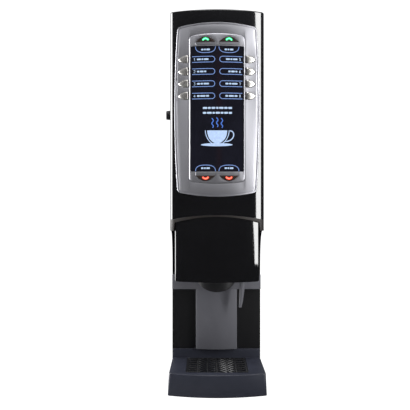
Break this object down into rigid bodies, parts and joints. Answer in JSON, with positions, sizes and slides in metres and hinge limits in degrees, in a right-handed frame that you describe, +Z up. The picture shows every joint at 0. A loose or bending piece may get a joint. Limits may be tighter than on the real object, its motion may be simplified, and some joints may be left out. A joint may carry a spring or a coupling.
{
  "type": "hot drinks vending machine",
  "caption": "Slim table-top hot drinks vending machine: bowed hinged door with display and push buttons, cup station, hot-water spout and slide-out drip tray.",
  "frame": {"origin": "on the surface it stands on, under the middle of the overall box", "axes": "+X to the machine's right as the user faces it, the front faces -Y, +Z up"},
  "size_m": [0.2069, 0.455, 0.787],
  "materials": {
    "gloss_black": "gloss",
    "satin_grey": "satin",
    "black_paint": "semi-gloss",
    "silver_paint": "satin metallic",
    "dark_trim": "satin metallic",
    "window": "polished",
    "pearl_key": "pearl",
    "silver_key": "satin metallic",
    "tray_plastic": "satin",
    "steel": "brushed",
    "chrome": "polished",
    "rubber": "matte",
    "canister_plastic": "translucent",
    "circuit_board": "lacquered",
    "white_plastic": "satin",
    "dark_plastic": "satin",
    "brass": "turned",
    "hose": "matte"
  },
  "bodies": {
    "cabinet": {"base_pan": "steel", "foot_front_left": "rubber", "foot_front_right": "rubber", "foot_rear_left": "rubber", "foot_rear_right": "rubber", "left_side_panel": "black_paint", "right_side_panel": "black_paint", "rear_panel": "steel", "top_cover": "black_paint", "hinge_bracket_upper": "steel", "hinge_bracket_lower": "steel", "niche_back_panel": "gloss_black", "niche_frame": "satin_grey", "nozzle_guard": "dark_plastic", "drink_nozzle": "dark_plastic", "hot_water_spout": "satin_grey", "canister_shelf": "steel", "auger_drive_unit": "dark_plastic", "mixing_bowl": "white_plastic", "whipper_motor": "steel", "boiler_tank": "steel", "mixer_water_hose": "hose", "spout_hose": "hose", "control_board": "circuit_board", "power_supply": "steel", "fan_housing": "dark_plastic", "mains_inlet": "dark_plastic", "water_inlet": "brass", "coffee_canister": "canister_plastic", "milk_canister": "canister_plastic", "chocolate_canister": "canister_plastic"},
    "door": {"door_shell": "gloss_black", "door_liner": "black_paint", "arch_trim": "dark_trim", "hood_mask": "gloss_black", "fascia": "silver_paint", "display_bezel": "silver_paint", "display_window": "window", "display_module": "circuit_board", "lock_body": "dark_plastic"},
    "lock": {"lock_cylinder": "chrome"},
    "strong_button": {"strong_button": "silver_key"},
    "large_button": {"large_button": "silver_key"},
    "hot_water_button": {"hot_water_button": "silver_key"},
    "top_up_button": {"top_up_button": "silver_key"},
    "drink_button_left_1": {"drink_button_left_1": "pearl_key"},
    "drink_button_left_2": {"drink_button_left_2": "pearl_key"},
    "drink_button_left_3": {"drink_button_left_3": "pearl_key"},
    "drink_button_left_4": {"drink_button_left_4": "pearl_key"},
    "drink_button_right_1": {"drink_button_right_1": "pearl_key"},
    "drink_button_right_2": {"drink_button_right_2": "pearl_key"},
    "drink_button_right_3": {"drink_button_right_3": "pearl_key"},
    "drink_button_right_4": {"drink_button_right_4": "pearl_key"},
    "tray": {"drip_tray": "tray_plastic"},
    "grille": {"drip_grille": "dark_plastic"},
    "coffee_feed": {"coffee_auger": "white_plastic"},
    "milk_feed": {"milk_auger": "white_plastic"},
    "chocolate_feed": {"chocolate_auger": "white_plastic"},
    "whipper": {"whipper_impeller": "white_plastic"},
    "fan": {"fan_rotor": "dark_plastic"}
  },
  "joints": [
    {"name": "door_hinge", "type": "hinge", "parent": "cabinet", "child": "door", "pos_m": [0.095, -0.1375, 0.57], "axis": [0, 0, 1], "range_deg": [0, 110]},
    {"name": "lock_turn", "type": "hinge", "parent": "door", "child": "lock", "pos_m": [-0.098, -0.149, 0.574], "axis": [-1, 0, 0], "range_deg": [0, 90]},
    {"name": "strong_button_press", "type": "slide", "parent": "door", "child": "strong_button", "axis": [0, 1, 0], "range_m": [0, 0.002], "stiffness_N_per_m": 400},
    {"name": "large_button_press", "type": "slide", "parent": "door", "child": "large_button", "axis": [0, 1, 0], "range_m": [0, 0.002], "stiffness_N_per_m": 400},
    {"name": "hot_water_button_press", "type": "slide", "parent": "door", "child": "hot_water_button", "axis": [0, 1, 0], "range_m": [0, 0.002], "stiffness_N_per_m": 400},
    {"name": "top_up_button_press", "type": "slide", "parent": "door", "child": "top_up_button", "axis": [0, 1, 0], "range_m": [0, 0.002], "stiffness_N_per_m": 400},
    {"name": "drink_button_left_1_press", "type": "slide", "parent": "door", "child": "drink_button_left_1", "axis": [0, 1, 0], "range_m": [0, 0.002], "stiffness_N_per_m": 400},
    {"name": "drink_button_left_2_press", "type": "slide", "parent": "door", "child": "drink_button_left_2", "axis": [0, 1, 0], "range_m": [0, 0.002], "stiffness_N_per_m": 400},
    {"name": "drink_button_left_3_press", "type": "slide", "parent": "door", "child": "drink_button_left_3", "axis": [0, 1, 0], "range_m": [0, 0.002], "stiffness_N_per_m": 400},
    {"name": "drink_button_left_4_press", "type": "slide", "parent": "door", "child": "drink_button_left_4", "axis": [0, 1, 0], "range_m": [0, 0.002], "stiffness_N_per_m": 400},
    {"name": "drink_button_right_1_press", "type": "slide", "parent": "door", "child": "drink_button_right_1", "axis": [0, 1, 0], "range_m": [0, 0.002], "stiffness_N_per_m": 400},
    {"name": "drink_button_right_2_press", "type": "slide", "parent": "door", "child": "drink_button_right_2", "axis": [0, 1, 0], "range_m": [0, 0.002], "stiffness_N_per_m": 400},
    {"name": "drink_button_right_3_press", "type": "slide", "parent": "door", "child": "drink_button_right_3", "axis": [0, 1, 0], "range_m": [0, 0.002], "stiffness_N_per_m": 400},
    {"name": "drink_button_right_4_press", "type": "slide", "parent": "door", "child": "drink_button_right_4", "axis": [0, 1, 0], "range_m": [0, 0.002], "stiffness_N_per_m": 400},
    {"name": "tray_slide", "type": "slide", "parent": "cabinet", "child": "tray", "axis": [0, -1, 0], "range_m": [0, 0.15]},
    {"name": "grille_lift", "type": "slide", "parent": "tray", "child": "grille", "axis": [0, 0, 1], "range_m": [0, 0.015]},
    {"name": "coffee_auger_spin", "type": "hinge", "parent": "cabinet", "child": "coffee_feed", "pos_m": [-0.062, 0.03, 0.5396], "axis": [0, 1, 0], "continuous": true},
    {"name": "milk_auger_spin", "type": "hinge", "parent": "cabinet", "child": "milk_feed", "pos_m": [0, 0.03, 0.5396], "axis": [0, 1, 0], "continuous": true},
    {"name": "chocolate_auger_spin", "type": "hinge", "parent": "cabinet", "child": "chocolate_feed", "pos_m": [0.062, 0.03, 0.5396], "axis": [0, 1, 0], "continuous": true},
    {"name": "whipper_spin", "type": "hinge", "parent": "cabinet", "child": "whipper", "pos_m": [0, -0.09, 0.412], "axis": [0, 1, 0], "continuous": true},
    {"name": "fan_spin", "type": "hinge", "parent": "cabinet", "child": "fan", "pos_m": [0, 0.198, 0.47], "axis": [0, 1, 0], "continuous": true}
  ]
}
